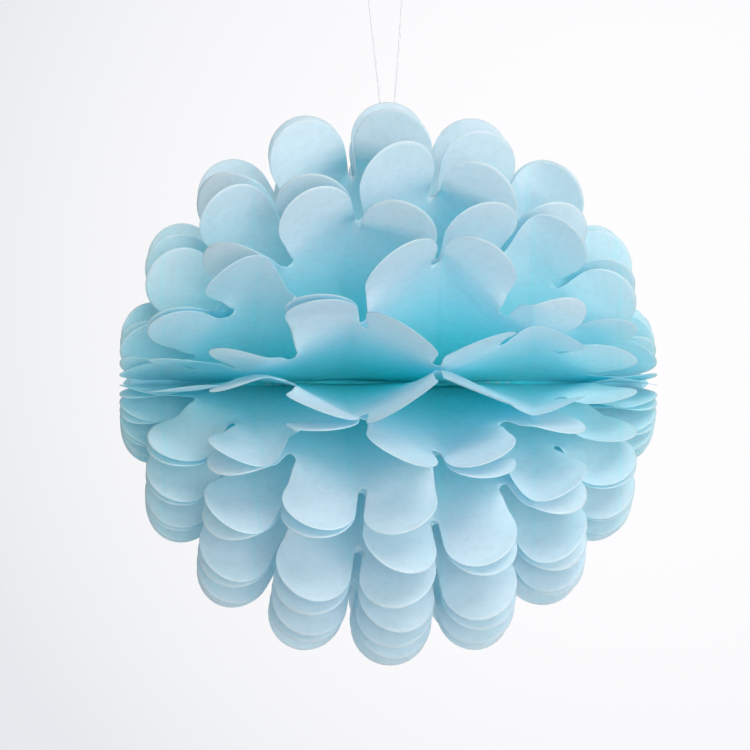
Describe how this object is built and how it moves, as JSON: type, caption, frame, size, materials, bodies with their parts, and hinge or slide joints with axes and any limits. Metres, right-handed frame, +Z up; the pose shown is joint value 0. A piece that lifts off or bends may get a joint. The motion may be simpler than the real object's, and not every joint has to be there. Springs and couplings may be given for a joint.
{
  "type": "honeycomb paper ball",
  "caption": "Hanging decoration ball of paper leaves glued in a honeycomb round a level spine, with round petals cut along their rims and a looped thread to hang it by.",
  "frame": {"origin": "centre of the ball, on the spine that the leaves are fanned round", "axes": "+Z up, towards the hanging loop; X along the spine; the open front of the ball faces -Y"},
  "size_m": [0.2368, 0.2476, 0.3067],
  "materials": {
    "paper": "matte pale aqua-blue paper, coloured right through",
    "binding": "matte folded paper of the same blue, sewn along the spine",
    "thread": "matte white twisted cotton"
  },
  "bodies": {
    "root": {"paper_leaf_01": "paper", "paper_leaf_02": "paper", "paper_leaf_03": "paper", "paper_leaf_04": "paper", "paper_leaf_05": "paper", "paper_leaf_06": "paper", "paper_leaf_07": "paper", "paper_leaf_08": "paper", "paper_leaf_09": "paper", "paper_leaf_10": "paper", "paper_leaf_11": "paper", "paper_leaf_12": "paper", "paper_leaf_13": "paper", "paper_leaf_14": "paper", "paper_leaf_15": "paper", "paper_leaf_16": "paper", "paper_leaf_17": "paper", "paper_leaf_18": "paper", "paper_leaf_19": "paper", "paper_leaf_20": "paper", "paper_leaf_21": "paper", "paper_leaf_22": "paper", "paper_leaf_23": "paper", "paper_leaf_24": "paper", "paper_leaf_25": "paper", "paper_leaf_26": "paper", "paper_leaf_27": "paper", "paper_leaf_28": "paper", "paper_leaf_29": "paper", "paper_leaf_30": "paper", "spine_binding": "binding", "hanging_thread": "thread"}
  },
  "joints": []
}
